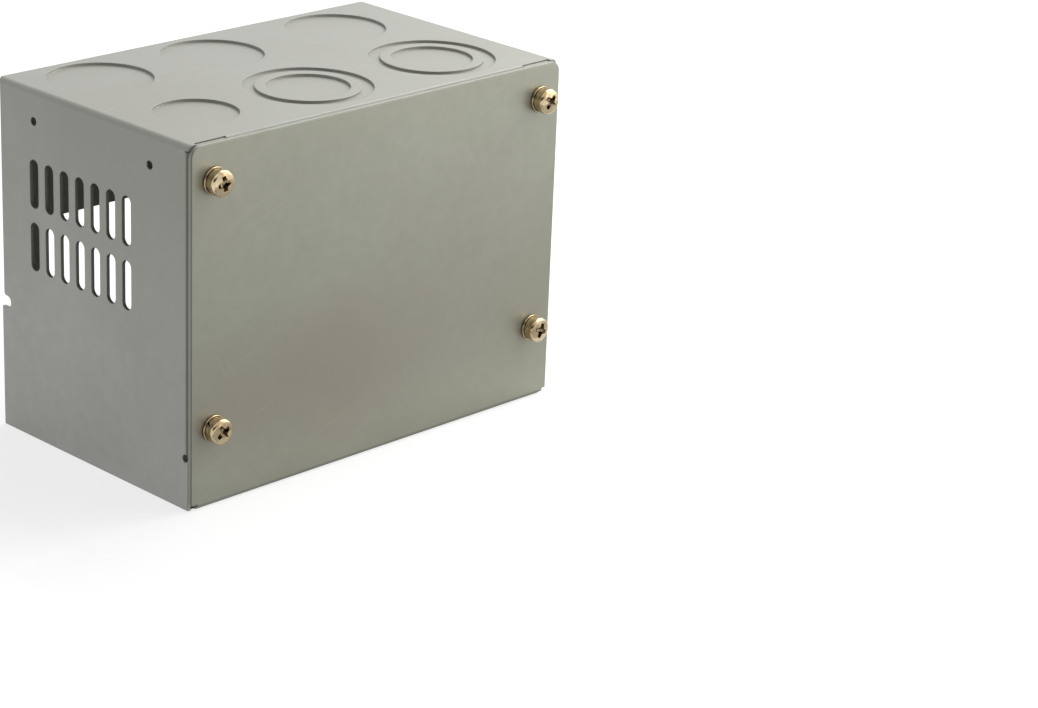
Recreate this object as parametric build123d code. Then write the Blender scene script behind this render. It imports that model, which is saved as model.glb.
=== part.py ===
from build123d import *
import os

# Folded sheet-steel wiring box with a front cover held by four screws. All sizes are in millimetres.
# X runs along the cover from left to right, Y from the cover to the rear, and Z up.
# The origin lies under the middle of the whole box, at the height of its open lower rim.

# Sheet and folds
sheet = 1.0
long_bend = 0.5
narrow_bend = 0.2
fold_run = 0.1
cover_sheet = 1.2
cover_bend = 0.3

# Height of the box, and how far its walls reach
height = 97.0
back_wall_drop = 41.7
rear_flange_width = 12.6
front_flange_width = 12.2
front_flange_top_drop = 0.3
top_flange_drop = 12.0
flange_relief = 0.3
corner_run = 1.0
corner_gap = 0.15
rear_corner_gap = 0.2

# Knock-outs in the top panel: three trade sizes of conduit entry
small_entry = 22.2
middle_entry = 28.2
large_entry = 34.5
entry_shift = 0.7

# Plain sheet between the knock-outs, and between them and the walls
left_margin = 6.3
left_web = 6.55
right_web = 10.1
right_margin = 8.95
front_margin = 5.65
row_web = 7.35
rear_margin = 3.3

# Vent slots in the side walls, placed from the top and from the rear
slot_width = 3.6
slot_length = 13.3
slot_pitch = 6.32
slot_columns = 7
slot_rear_offset = 15.7
slot_row_drops = (25.5, 42.7)

# Two small holes above the vents in each side wall
side_hole = 2.3
side_hole_drop = 8.5
side_hole_rear_offset = 15.9
side_hole_spacing = 47.0

# Notch in the rear edge of each side wall, below its rear flange
notch_height = 3.3
notch_depth = 3.6
notch_level = 35.6
notch_lead = 1.2

# Lower front corner, where the side wall runs on flat below its front flange
tab_height = 14.2
tab_setback = 0.1
relief_hole = 2.1
relief_hole_offset = 1.1
relief_hole_reach = 0.8
relief_slit = 0.2

# Cover
cover_drop = 0.25
cover_side_gap = 0.15
cover_lip_depth = 8.0
cover_relief = 1.2
cover_corner = 3.0
cover_edge_roll = 0.3

# Cover screws, placed from the side walls, the top and the lower rim
screw_side_offset = 7.2
screw_top_drop = 9.8
screw_low_level = 21.4
screw_diameter = 4.0
screw_length = 8.0
screw_head_diameter = 7.0
screw_head_height = 2.6
screw_head_edge = 1.0
screw_point = 0.5
screw_hole_clearance = 0.25

# Cross recess in the screw head
recess_span = 4.1
recess_width = 1.1
recess_depth = 1.7
recess_taper = 12.0
recess_core = 1.8
recess_core_point = 0.6

# Washers under each screw head
washer_bore_clearance = 0.15
flat_washer_diameter = 7.3
flat_washer_height = 0.8
spring_washer_diameter = 6.6
spring_washer_height = 1.0
spring_washer_bore_clearance = 0.05
spring_washer_slit = 0.5
spring_washer_slit_angle = 35.0

# Clinch nuts pressed into the front side flanges
nut_diameter = 7.9
nut_height = 2.0
nut_spigot_diameter = 5.4
nut_spigot_setback = 0.2
nut_press_gap = 0.02
nut_bore_clearance = 0.05
nut_chamfer = 0.3

# Shallow dimples of the spot welds between the back wall and the rear flanges
weld_dimple = 4.5
weld_dimple_depth = 0.15
weld_rows = 3

# Worked out from the sizes above
width = left_margin + middle_entry + left_web + 2 * large_entry + right_web + right_margin
depth = front_margin + large_entry + row_web + middle_entry + rear_margin
long_outer = long_bend + sheet
narrow_outer = narrow_bend + sheet
cover_fold_z = cover_bend + cover_sheet + fold_run
head_reach = flat_washer_height + spring_washer_height + screw_head_height
cover_face_y = (head_reach - depth) / 2
flange_face_y = cover_face_y + cover_sheet
rear_y = cover_face_y + depth
rear_flange_face_y = rear_y - sheet
wall_front_y = flange_face_y + narrow_outer + fold_run
wall_rear_y = rear_flange_face_y - narrow_outer - fold_run
flange_top_z = height - long_outer - flange_relief
rear_flange_low_z = notch_level + notch_height / 2
half_width = width / 2
side_plane_x = half_width - sheet / 2
large_radius = large_entry / 2
middle_radius = middle_entry / 2
small_radius = small_entry / 2
screw_x = half_width - screw_side_offset
screw_high_z = height - screw_top_drop
screw_places = {
    "upper_left": (-screw_x, screw_high_z),
    "upper_right": (screw_x, screw_high_z),
    "lower_left": (-screw_x, screw_low_level),
    "lower_right": (screw_x, screw_low_level),
}


def block(low, high):
    """A plain block between two opposite corners."""
    size = [b - a for a, b in zip(low, high)]
    middle = [(a + b) / 2 for a, b in zip(low, high)]
    return Pos(*middle) * Box(*size)


def both_sides(left):
    """A left-hand feature together with its mirror image on the right."""
    return [left, mirror(left, about=Plane.YZ)]


def folded_strip(corner, first, second, first_leg, second_leg, length, thickness, inner_radius):
    """A right-angled fold: legs along two directions from its outer corner, drawn out along their normal."""
    outline = Polyline(
        (0, 0),
        (first_leg, 0),
        (first_leg, thickness),
        (thickness, thickness),
        (thickness, second_leg),
        (0, second_leg),
        close=True,
    )
    section = make_face(outline)
    outer = section.vertices().sort_by_distance((0, 0, 0))[0]
    section = fillet(outer, inner_radius + thickness)
    inner = section.vertices().sort_by_distance((thickness, thickness, 0))[0]
    section = fillet(inner, inner_radius)
    normal = Vector(*first).cross(Vector(*second))
    plane = Plane(origin=corner, x_dir=first, z_dir=normal)
    return extrude(plane * section, length)


def channel_section():
    """Section of the top panel and side walls, with their two long bends."""
    outer = Pos(0, height / 2) * Rectangle(width, height)
    outer = fillet(outer.vertices().group_by(Axis.Y)[-1], long_outer)
    inner = Pos(0, (height - sheet) / 2) * Rectangle(width - 2 * sheet, height - sheet)
    inner = fillet(inner.vertices().group_by(Axis.Y)[-1], long_bend)
    return outer - inner


def drawn_along_y(section, front, rear):
    """A section in X and Z, drawn from a front to a rear position."""
    plane = Plane(origin=(0, rear, 0), x_dir=(1, 0, 0), z_dir=(0, -1, 0))
    return extrude(plane * section, rear - front)


def channel():
    """Top panel and side walls as one bent channel, open below."""
    return drawn_along_y(channel_section(), wall_front_y, wall_rear_y)


def corner_strip(run, front, rear):
    """Left long bend alone, with a short run of the top panel beside it."""
    span = long_outer + run
    window = Pos(span / 2 - half_width, height - long_outer / 2) * Rectangle(span, long_outer)
    return drawn_along_y(channel_section() & window, front, rear)


def corner_strips():
    """Ends of the left long bend, which close the corners between the folds."""
    front = corner_strip(corner_run, flange_face_y + corner_gap, wall_front_y)
    rear = corner_strip(0, wall_rear_y, rear_flange_face_y - rear_corner_gap)
    return front + rear


def front_side_flange():
    """Left front flange, turned inwards behind the cover, with its ear that closes the upper corner."""
    flange = folded_strip(
        (-half_width, flange_face_y, tab_height),
        (1, 0, 0),
        (0, 1, 0),
        front_flange_width,
        wall_front_y - flange_face_y,
        flange_top_z - tab_height,
        sheet,
        narrow_bend,
    )
    ear = block(
        (corner_run + long_outer + flange_relief - half_width, flange_face_y, flange_top_z),
        (front_flange_width - half_width, flange_face_y + sheet, height - front_flange_top_drop),
    )
    return flange + ear


def front_top_flange():
    """Front flange under the top panel, between the two side flanges."""
    reach = half_width - front_flange_width - flange_relief
    return folded_strip(
        (-reach, flange_face_y, height),
        (0, 0, -1),
        (0, 1, 0),
        top_flange_drop,
        wall_front_y - flange_face_y,
        2 * reach,
        sheet,
        narrow_bend,
    )


def rear_side_flange():
    """Left rear flange, turned inwards above the notch and lapped by the back wall."""
    return folded_strip(
        (-half_width, rear_flange_face_y, flange_top_z),
        (1, 0, 0),
        (0, -1, 0),
        rear_flange_width,
        rear_flange_face_y - wall_rear_y,
        flange_top_z - rear_flange_low_z,
        sheet,
        narrow_bend,
    )


def back_wall():
    """Short back wall, folded down from the top panel over the rear side flanges."""
    reach = half_width - long_outer
    return folded_strip(
        (reach, rear_y, height),
        (0, 0, -1),
        (0, -1, 0),
        back_wall_drop,
        rear_y - wall_rear_y,
        2 * reach,
        sheet,
        narrow_bend,
    )


def lower_wall_edges():
    """Flat stretches of the left wall below its flanges, out to the cover's back and to the rear."""
    inner_x = sheet - half_width
    front = block(
        (-half_width, flange_face_y + tab_setback, 0),
        (inner_x, wall_front_y, tab_height - relief_slit),
    )
    rear = block((-half_width, wall_rear_y, 0), (inner_x, rear_flange_face_y, notch_level))
    return front + rear


def entry_disc(x, y, z, outer_radius, inner_radius):
    """One sheared disc or ring of a knock-out, as thick as its shift and lying below z."""
    disc = Cylinder(outer_radius, entry_shift)
    if inner_radius > 0:
        disc -= Cylinder(inner_radius, entry_shift)
    return Pos(x, y, z - entry_shift / 2) * disc


def entry_places():
    """Centre and sheared rings, outer and inner radius, of each knock-out."""
    left_x = left_margin + middle_radius - half_width
    middle_x = left_x + middle_radius + left_web + large_radius
    right_x = middle_x + 2 * large_radius + right_web
    front_y = cover_face_y + front_margin + large_radius
    back_y = rear_y - rear_margin - middle_radius
    single = [(middle_radius, 0)]
    stepped = [(large_radius, middle_radius), (small_radius, 0)]
    places = [(left_x, front_y, [(small_radius, 0)])]
    places += [(x, front_y, stepped) for x in (middle_x, right_x)]
    places += [(x, back_y, single) for x in (left_x, middle_x, right_x)]
    return places


def shear_knock_outs(body):
    """Push each disc and ring part of the way through the top panel."""
    hollows = []
    bosses = []
    for x, y, rings in entry_places():
        for outer_radius, inner_radius in rings:
            hollows.append(entry_disc(x, y, height, outer_radius, inner_radius))
            bosses.append(entry_disc(x, y, height - sheet, outer_radius, inner_radius))
    return body - hollows + bosses


def side_plane(y, z):
    """A plane on the middle of the left wall, with its own X along Y and its own Y along Z."""
    return Plane(origin=(-side_plane_x, y, z), x_dir=(0, 1, 0), z_dir=(1, 0, 0))


def through_left_wall(sketch, y, z):
    """A cutter through the left wall in the outline of a sketch."""
    return extrude(side_plane(y, z) * sketch, sheet, both=True)


def vent_slots():
    """Cutters for the upright round-ended vent slots of the left wall."""
    slot = SlotOverall(slot_length, slot_width, rotation=90)
    return [
        through_left_wall(slot, rear_y - slot_rear_offset - column * slot_pitch, height - drop)
        for column in range(slot_columns)
        for drop in slot_row_drops
    ]


def side_holes():
    """Cutters for the two small round holes of the left wall."""
    first_y = rear_y - side_hole_rear_offset
    return [
        through_left_wall(Circle(side_hole / 2), y, height - side_hole_drop)
        for y in (first_y, first_y - side_hole_spacing)
    ]


def rear_notch():
    """Cutter for the notch in the left wall's rear edge, with its sloped lead-in above."""
    radius = notch_height / 2
    straight = notch_depth - radius
    outline = Pos(-straight / 2, 0) * Rectangle(straight, notch_height)
    outline += Pos(-straight, 0) * Circle(radius)
    lead = Polyline((0, radius), (0, radius + notch_lead), (-notch_lead, radius), close=True)
    outline += make_face(lead)
    return through_left_wall(outline, rear_flange_face_y, notch_level)


def bend_relief():
    """Cutter for the round relief hole where the left front flange ends, also through the flange's corner."""
    plane = side_plane(flange_face_y + relief_hole_offset, tab_height)
    return extrude(plane * Circle(relief_hole / 2), relief_hole_reach, both=True)


def nut_holes():
    """Cutters for the nut seats in the front side flanges."""
    seat_y = flange_face_y + sheet / 2
    seat = Rot(90, 0, 0) * Cylinder(nut_spigot_diameter / 2, 2 * sheet)
    return [Pos(x, seat_y, z) * seat for x, z in screw_places.values()]


def weld_dimples():
    """Cutters for the spot-weld dimples along both edges of the back wall."""
    lap = (long_outer + rear_flange_width) / 2
    low_z = height - back_wall_drop + weld_dimple
    high_z = flange_top_z - weld_dimple
    step = (high_z - low_z) / (weld_rows - 1)
    dimple = Rot(90, 0, 0) * Cylinder(weld_dimple / 2, 2 * weld_dimple_depth)
    return [
        Pos(side * (half_width - lap), rear_y, low_z + row * step) * dimple
        for side in (-1, 1)
        for row in range(weld_rows)
    ]


def box_body():
    """The whole folded sheet, with its knock-outs, vents, notches and nut seats."""
    body = channel() + front_top_flange() + back_wall()
    for left in (corner_strips(), front_side_flange(), rear_side_flange(), lower_wall_edges()):
        body += both_sides(left)
    body = shear_knock_outs(body)
    cutters = []
    for left in vent_slots() + side_holes() + [rear_notch(), bend_relief()]:
        cutters += both_sides(left)
    return body - cutters - nut_holes() - weld_dimples()


def cover_plate():
    """Flat front plate, as wide as the box, with round upper corners and a rolled rim."""
    top_z = height - cover_drop
    outline = Pos(0, (top_z + cover_fold_z) / 2) * Rectangle(width, top_z - cover_fold_z)
    outline = fillet(outline.vertices().group_by(Axis.Y)[-1], cover_corner)
    plane = Plane(origin=(0, cover_face_y, 0), x_dir=(1, 0, 0), z_dir=(0, -1, 0))
    plate = extrude(plane * outline, -cover_sheet)
    face_edges = plate.faces().sort_by(Axis.Y)[0].edges()
    rim = face_edges.filter_by(lambda edge: edge.center().Z > cover_fold_z + cover_sheet)
    return fillet(rim, cover_edge_roll)


def cover_lip():
    """Lower edge of the cover, folded back between the side walls."""
    reach = half_width - sheet - cover_side_gap - cover_relief
    return folded_strip(
        (-reach, cover_face_y, 0),
        (0, 1, 0),
        (0, 0, 1),
        cover_lip_depth,
        cover_fold_z,
        2 * reach,
        cover_sheet,
        cover_bend,
    )


def cover_screw_holes():
    """Cutters for the clearance holes of the four cover screws."""
    hole = Rot(90, 0, 0) * Cylinder(screw_diameter / 2 + screw_hole_clearance, 4 * cover_sheet)
    return [Pos(x, cover_face_y, z) * hole for x, z in screw_places.values()]


def front_cover():
    """The flat cover with its folded lower lip and its four screw holes."""
    return cover_plate() + cover_lip() - cover_screw_holes()


def ring(outer_radius, bore_radius, thickness):
    """A flat ring on the XY plane, rising along Z."""
    outer = Pos(0, 0, thickness / 2) * Cylinder(outer_radius, thickness)
    bore = Pos(0, 0, thickness / 2) * Cylinder(bore_radius, 2 * thickness)
    return outer - bore


def at_screw(shape, place, stand_off):
    """Turn a shape built along +Z to point out of the cover, standing off from its face."""
    x, z = place
    return Pos(x, cover_face_y - stand_off, z) * Rot(90, 0, 0) * shape


def flat_washer():
    """Plain washer that bears on the cover."""
    bore = screw_diameter / 2 + washer_bore_clearance
    return ring(flat_washer_diameter / 2, bore, flat_washer_height)


def spring_washer():
    """Split lock washer, pressed flat, with its slanted slit."""
    outer = spring_washer_diameter / 2
    bore = screw_diameter / 2 + spring_washer_bore_clearance
    whole = ring(outer, bore, spring_washer_height)
    slit = Box(spring_washer_diameter, spring_washer_slit, 4 * spring_washer_height)
    slit = Rot(spring_washer_slit_angle, 0, 0) * slit
    return whole - Pos(spring_washer_diameter / 2, 0, spring_washer_height / 2) * slit


def cross_recess():
    """Cutter for the tapered cross recess, open at z = 0 and reaching down."""
    cross = Rectangle(recess_span, recess_width) + Rectangle(recess_width, recess_span)
    wings = extrude(cross, -recess_depth, taper=recess_taper)
    core = Cone(recess_core_point / 2, recess_core / 2, recess_depth)
    return wings + Pos(0, 0, -recess_depth / 2) * core


def cover_screw():
    """Pan-head screw along Z, with its bearing face at z = 0 and its shank below."""
    radius = screw_head_diameter / 2
    head = Pos(0, 0, screw_head_height / 2) * Cylinder(radius, screw_head_height)
    head = fillet(head.edges().sort_by(Axis.Z)[-1], screw_head_edge)
    head -= Pos(0, 0, screw_head_height) * cross_recess()
    shank = Pos(0, 0, -screw_length / 2) * Cylinder(screw_diameter / 2, screw_length)
    shank = chamfer(shank.edges().sort_by(Axis.Z)[0], screw_point)
    return head + shank


def clinch_nut():
    """Round clinch nut along Z: spigot above z = 0 for the flange, body below."""
    bore = screw_diameter / 2 + nut_bore_clearance
    spigot_height = sheet - nut_spigot_setback
    body = Pos(0, 0, -nut_height / 2) * Cylinder(nut_diameter / 2, nut_height)
    body = chamfer(body.edges().sort_by(Axis.Z)[0], nut_chamfer)
    spigot_radius = nut_spigot_diameter / 2 - nut_press_gap
    spigot = Pos(0, 0, spigot_height / 2) * Cylinder(spigot_radius, spigot_height)
    return body + spigot - Cylinder(bore, 4 * nut_height)


def fasteners():
    """The screw, its two washers and its nut at each of the four places."""
    nodes = {}
    washer_top = flat_washer_height + spring_washer_height
    for name, place in screw_places.items():
        nodes[name + "_screw"] = at_screw(cover_screw(), place, washer_top)
        nodes[name + "_spring_washer"] = at_screw(spring_washer(), place, flat_washer_height)
        nodes[name + "_flat_washer"] = at_screw(flat_washer(), place, 0)
        nodes[name + "_clinch_nut"] = at_screw(clinch_nut(), place, -cover_sheet - sheet)
    return nodes


def main():
    """Write one STEP file for each piece."""
    os.makedirs("parts", exist_ok=True)
    nodes = {"box_body": box_body(), "front_cover": front_cover()}
    nodes.update(fasteners())
    for name, shape in nodes.items():
        export_step(shape, "parts/" + name + ".step")
        box = shape.bounding_box()
        print(name, [round(v, 3) for v in (*box.min, *box.max)], round(shape.volume, 1))


main()
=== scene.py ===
# %% [markdown]
# A small steel wiring box on a white table. It is folded from one sheet of zinc-plated steel, with round
# knock-outs for conduit in its top, vent slots in its sides and a flat cover that four golden screws hold.
# The solids come ready made and stay where they are. This lesson gives them their finishes, makes the
# screws, washers and nuts again with their fine forms, and sets up the table, the lamps and the camera.

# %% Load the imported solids
import math

import bmesh
import bpy
from mathutils import Matrix, Vector


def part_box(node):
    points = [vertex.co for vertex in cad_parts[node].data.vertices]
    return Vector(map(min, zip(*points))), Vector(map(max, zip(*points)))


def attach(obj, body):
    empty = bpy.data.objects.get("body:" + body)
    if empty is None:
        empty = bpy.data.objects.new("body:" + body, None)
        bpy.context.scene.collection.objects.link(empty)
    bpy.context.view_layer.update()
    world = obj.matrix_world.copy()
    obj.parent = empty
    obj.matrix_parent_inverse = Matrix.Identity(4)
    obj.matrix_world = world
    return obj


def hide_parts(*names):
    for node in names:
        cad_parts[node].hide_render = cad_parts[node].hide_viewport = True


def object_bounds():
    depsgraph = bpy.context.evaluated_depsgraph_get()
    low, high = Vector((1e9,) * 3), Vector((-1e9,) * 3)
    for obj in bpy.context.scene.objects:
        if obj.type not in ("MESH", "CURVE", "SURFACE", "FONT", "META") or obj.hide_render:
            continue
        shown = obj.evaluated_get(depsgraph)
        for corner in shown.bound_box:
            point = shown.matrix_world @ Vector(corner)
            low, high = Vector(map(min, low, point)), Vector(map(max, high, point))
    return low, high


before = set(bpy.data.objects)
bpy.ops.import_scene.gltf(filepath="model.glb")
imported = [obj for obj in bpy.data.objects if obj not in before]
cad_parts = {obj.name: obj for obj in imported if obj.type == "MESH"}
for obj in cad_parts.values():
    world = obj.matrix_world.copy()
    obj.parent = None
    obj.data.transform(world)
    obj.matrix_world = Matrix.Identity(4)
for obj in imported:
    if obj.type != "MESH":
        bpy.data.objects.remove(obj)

packed_low, packed_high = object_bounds()
print("solids:", len(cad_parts), "size in metres:", [round(v, 4) for v in packed_high - packed_low])

# %% [markdown]
# Everything below is in metres, with X along the cover, Y from the cover to the rear and Z up. Most sizes
# that a finish or a new piece needs are read from the solids, so the marks move with them.

# %% Read the sizes of the box from its solids
mm = 0.001
box_low, box_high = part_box("box_body")
cover_low, cover_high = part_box("front_cover")
box_middle = (packed_low + packed_high) / 2
print("box body in metres:", [round(v, 4) for v in box_high - box_low])
print("front cover in metres:", [round(v, 4) for v in cover_high - cover_low])

# %% [markdown]
# Materials in Blender are graphs of small nodes. These helpers keep the cells below short: one starts a
# material, one adds a node, sets it up and joins its inputs, and the others do common sums with it. A Mix
# node has a set of sockets for each kind of data, so its inputs are picked by number: 2 and 3 are its two
# values, 6 and 7 its two colours.

# %% Helpers for node graphs
def new_material(name):
    """A new material; returns it, its node tree and its shader."""
    material = bpy.data.materials.new(name)
    material.use_nodes = True
    return material, material.node_tree, material.node_tree.nodes["Principled BSDF"]


def give_inputs(tree, node, inputs):
    """Set each named input of a node to a value, or link it to a socket."""
    for name, value in inputs.items():
        if isinstance(value, bpy.types.NodeSocket):
            tree.links.new(value, node.inputs[name])
        else:
            node.inputs[name].default_value = value
    return node


def add(tree, kind, inputs=None, **settings):
    """Add one node with its settings and inputs."""
    node = tree.nodes.new("ShaderNode" + kind)
    for name, value in settings.items():
        setattr(node, name, value)
    return give_inputs(tree, node, inputs or {})


def calculate(tree, operation, first, second=0.0):
    """One sum of two values."""
    return add(tree, "Math", {0: first, 1: second}, operation=operation).outputs[0]


def ramp(tree, value, zero_at, one_at):
    """A mask of a value: 0 at one level of it, 1 at another, straight between them and held beyond."""
    levels = {"Value": value, "From Min": zero_at, "From Max": one_at}
    return add(tree, "MapRange", levels).outputs["Result"]


def blend(tree, share, first, second):
    """Blend two values by a share from 0 to 1."""
    return add(tree, "Mix", {0: share, 2: first, 3: second}, data_type="FLOAT").outputs[0]


def blend_colours(tree, share, first, second):
    """Blend two colours by a share from 0 to 1."""
    return add(tree, "Mix", {0: share, 6: first, 7: second}, data_type="RGBA").outputs[2]


def scaled(colour, factor):
    """A colour made lighter or darker by a factor."""
    return tuple(min(1.0, factor * part) for part in colour[:3]) + (1.0,)


print("node helpers ready")

# %% [markdown]
# An effect that several metals share, such as rolling grain, is built once as a node group with named
# inputs and outputs, and then placed in each material with its own numbers. A group gives out only values
# and normals. The shader itself stays in the material.

# %% Helpers for node groups
value_socket = "NodeSocketFloat"
normal_socket = "NodeSocketVector"


def open_group(name, inputs, outputs):
    """A new shader node group with named sockets; returns its tree, its input node and its output node."""
    tree = bpy.data.node_groups.new(name, "ShaderNodeTree")
    for socket_name, value in inputs.items():
        socket = tree.interface.new_socket(name=socket_name, in_out="INPUT", socket_type=value_socket)
        socket.default_value = value
    for socket_name, kind in outputs.items():
        tree.interface.new_socket(name=socket_name, in_out="OUTPUT", socket_type=kind)
    return tree, tree.nodes.new("NodeGroupInput"), tree.nodes.new("NodeGroupOutput")


def place_group(tree, name, **inputs):
    """Put a node group into a tree with its own values, named with _ for a space; returns its outputs."""
    node = add(tree, "Group", node_tree=bpy.data.node_groups[name])
    named = {socket_name.replace("_", " "): value for socket_name, value in inputs.items()}
    return give_inputs(tree, node, named).outputs


print("group helpers ready")

# %% [markdown]
# Zinc plating is never one even grey. It has soft clouds a few centimetres wide, where the bath was richer,
# and a much finer mottle. Two noise textures of very different scale give both. They read object
# coordinates, which are fixed to the metal, so nothing slides when a part moves.

# %% Node group: clouded plating
def build_clouded_plating():
    """Soft clouds with a finer mottle in them."""
    inputs = {"Clouds per metre": 22.0, "Mottle per metre": 260.0, "Mottle share": 0.35}
    tree, given, result = open_group("clouded_plating", inputs, {"Cloud": value_socket})
    place = add(tree, "TexCoord").outputs["Object"]
    broad = {"Vector": place, "Scale": given.outputs["Clouds per metre"], "Detail": 2.0, "Roughness": 0.5}
    fine = {"Vector": place, "Scale": given.outputs["Mottle per metre"], "Detail": 4.0, "Roughness": 0.6}
    broad_noise = add(tree, "TexNoise", broad).outputs["Fac"]
    fine_noise = add(tree, "TexNoise", fine).outputs["Fac"]
    both = blend(tree, given.outputs["Mottle share"], broad_noise, fine_noise)
    tree.links.new(ramp(tree, both, zero_at=0.3, one_at=0.7), result.inputs["Cloud"])
    print("built", tree.name)


build_clouded_plating()

# %% [markdown]
# Grain and scratches lie in the sheet, so both need places that are measured along it. The rolls that made
# the sheet ran along X on the cover and the top, and down the sides where the sheet is folded over. The
# group looks at the way a face points, and gives out how far along the rolling a point is and how far
# across it.

# %% Node group: sheet coordinates
def build_sheet_coordinates():
    """How far a point lies along the rolling and across it, in metres."""
    tree, _, result = open_group("sheet_coordinates", {}, {"Along": value_socket, "Across": value_socket})
    source = add(tree, "TexCoord")
    spot = add(tree, "SeparateXYZ", {0: source.outputs["Object"]}).outputs
    size = add(tree, "VectorMath", {0: source.outputs["Normal"]}, operation="ABSOLUTE").outputs["Vector"]
    facing = add(tree, "SeparateXYZ", {0: size}).outputs
    halfway_round_a_fold = 0.7
    on_a_side = calculate(tree, "GREATER_THAN", facing["X"], halfway_round_a_fold)
    on_the_front = calculate(tree, "GREATER_THAN", facing["Y"], halfway_round_a_fold)
    tree.links.new(blend(tree, on_a_side, spot["X"], spot["Z"]), result.inputs["Along"])
    tree.links.new(blend(tree, on_the_front, spot["Y"], spot["Z"]), result.inputs["Across"])
    print("built", tree.name)


build_sheet_coordinates()

# %% [markdown]
# Sheet steel is rolled, and the rolls leave hair-fine streaks that run one way. A noise texture that is
# squeezed across the streaks and drawn out along them gives both their width and their length.

# %% Node group: rolling grain
def build_rolling_grain():
    """Fine streaks along the sheet, wrapped round its folds."""
    inputs = {"Streaks per metre": 2400.0, "Streak length": 12 * mm}
    tree, given, result = open_group("rolling_grain", inputs, {"Grain": value_socket})
    place = place_group(tree, "sheet_coordinates")
    slow = calculate(tree, "DIVIDE", place["Along"], given.outputs["Streak length"])
    quick = calculate(tree, "MULTIPLY", place["Across"], given.outputs["Streaks per metre"])
    squeezed = add(tree, "CombineXYZ", {"X": slow, "Y": quick}).outputs[0]
    noise = {"Vector": squeezed, "Scale": 1.0, "Detail": 3.0, "Roughness": 0.7}
    streaks = add(tree, "TexNoise", noise).outputs["Fac"]
    tree.links.new(ramp(tree, streaks, zero_at=0.3, one_at=0.7), result.inputs["Grain"])
    print("built", tree.name)


build_rolling_grain()

# %% [markdown]
# A sheet part that has been sheared, folded and packed carries fine scratches. Each set is a noise texture
# that is turned in the sheet and drawn out forty times along one direction. Only its highest crests are
# kept, which leaves thin broken lines. Two sets cross, and a broad noise lets them through here and there.

# %% Node group: handling scratches
def build_handling_scratches():
    """Two crossing sets of thin broken lines."""
    inputs = {"Scratches per metre": 900.0, "Amount": 0.5}
    tree, given, result = open_group("handling_scratches", inputs, {"Scratch": value_socket})
    sheet = place_group(tree, "sheet_coordinates")
    place = add(tree, "CombineXYZ", {"X": sheet["Along"], "Y": sheet["Across"]}).outputs[0]
    drawn_out = 40.0
    lines = []
    for turn_in_radians in (0.35, -1.1):
        stretch = {"Vector": place, "Rotation": (0.0, 0.0, turn_in_radians), "Scale": (drawn_out, 1.0, 1.0)}
        turned = add(tree, "Mapping", stretch, vector_type="TEXTURE").outputs[0]
        noise = {"Vector": turned, "Scale": given.outputs["Scratches per metre"], "Detail": 1.0}
        crests = add(tree, "TexNoise", noise).outputs["Fac"]
        lines.append(ramp(tree, crests, zero_at=0.70, one_at=0.76))
    both = calculate(tree, "MAXIMUM", lines[0], lines[1])
    patches = add(tree, "TexNoise", {"Vector": place, "Scale": 40.0, "Detail": 2.0}).outputs["Fac"]
    kept = calculate(tree, "MULTIPLY", both, ramp(tree, patches, zero_at=0.45, one_at=0.65))
    tree.links.new(calculate(tree, "MULTIPLY", kept, given.outputs["Amount"]), result.inputs["Scratch"])
    print("built", tree.name)


build_handling_scratches()

# %% [markdown]
# The dull film on old zinc is uneven over a whole face, and the cover has a few brownish patches as wide as
# a thumb. The upper and front parts of the body are painted duller and warmer than its rear foot: painted
# shade, for the light that the white table throws on its lower parts. One group gives both: a slow noise for
# the patches and a slanted rise with height, each with its own share.

# %% Node group: film and height shade
def build_film_and_height_shade():
    """Slow patches and a slanted rise with height, added up to a mask."""
    inputs = {"Patches per metre": 16.0, "Patch share": 0.5, "Height share": 0.5}
    inputs.update({"Low": 30 * mm, "High": 85 * mm, "Slant": 0.35})
    tree, given, result = open_group("film_and_height_shade", inputs, {"Film and shade": value_socket})
    place = add(tree, "TexCoord").outputs["Object"]
    slow = {"Vector": place, "Scale": given.outputs["Patches per metre"], "Detail": 3.0, "Distortion": 0.6}
    patches = ramp(tree, add(tree, "TexNoise", slow).outputs["Fac"], zero_at=0.42, one_at=0.62)
    spot = add(tree, "SeparateXYZ", {0: place}).outputs
    slanted = calculate(tree, "MULTIPLY", spot["Y"], given.outputs["Slant"])
    height = calculate(tree, "SUBTRACT", spot["Z"], slanted)
    rise = ramp(tree, height, zero_at=given.outputs["Low"], one_at=given.outputs["High"])
    patchy = calculate(tree, "MULTIPLY", patches, given.outputs["Patch share"])
    risen = calculate(tree, "MULTIPLY", rise, given.outputs["Height share"])
    film_and_shade = calculate(tree, "MINIMUM", calculate(tree, "ADD", patchy, risen), 1.0)
    tree.links.new(film_and_shade, result.inputs["Film and shade"])
    print("built", tree.name)


build_film_and_height_shade()
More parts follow.
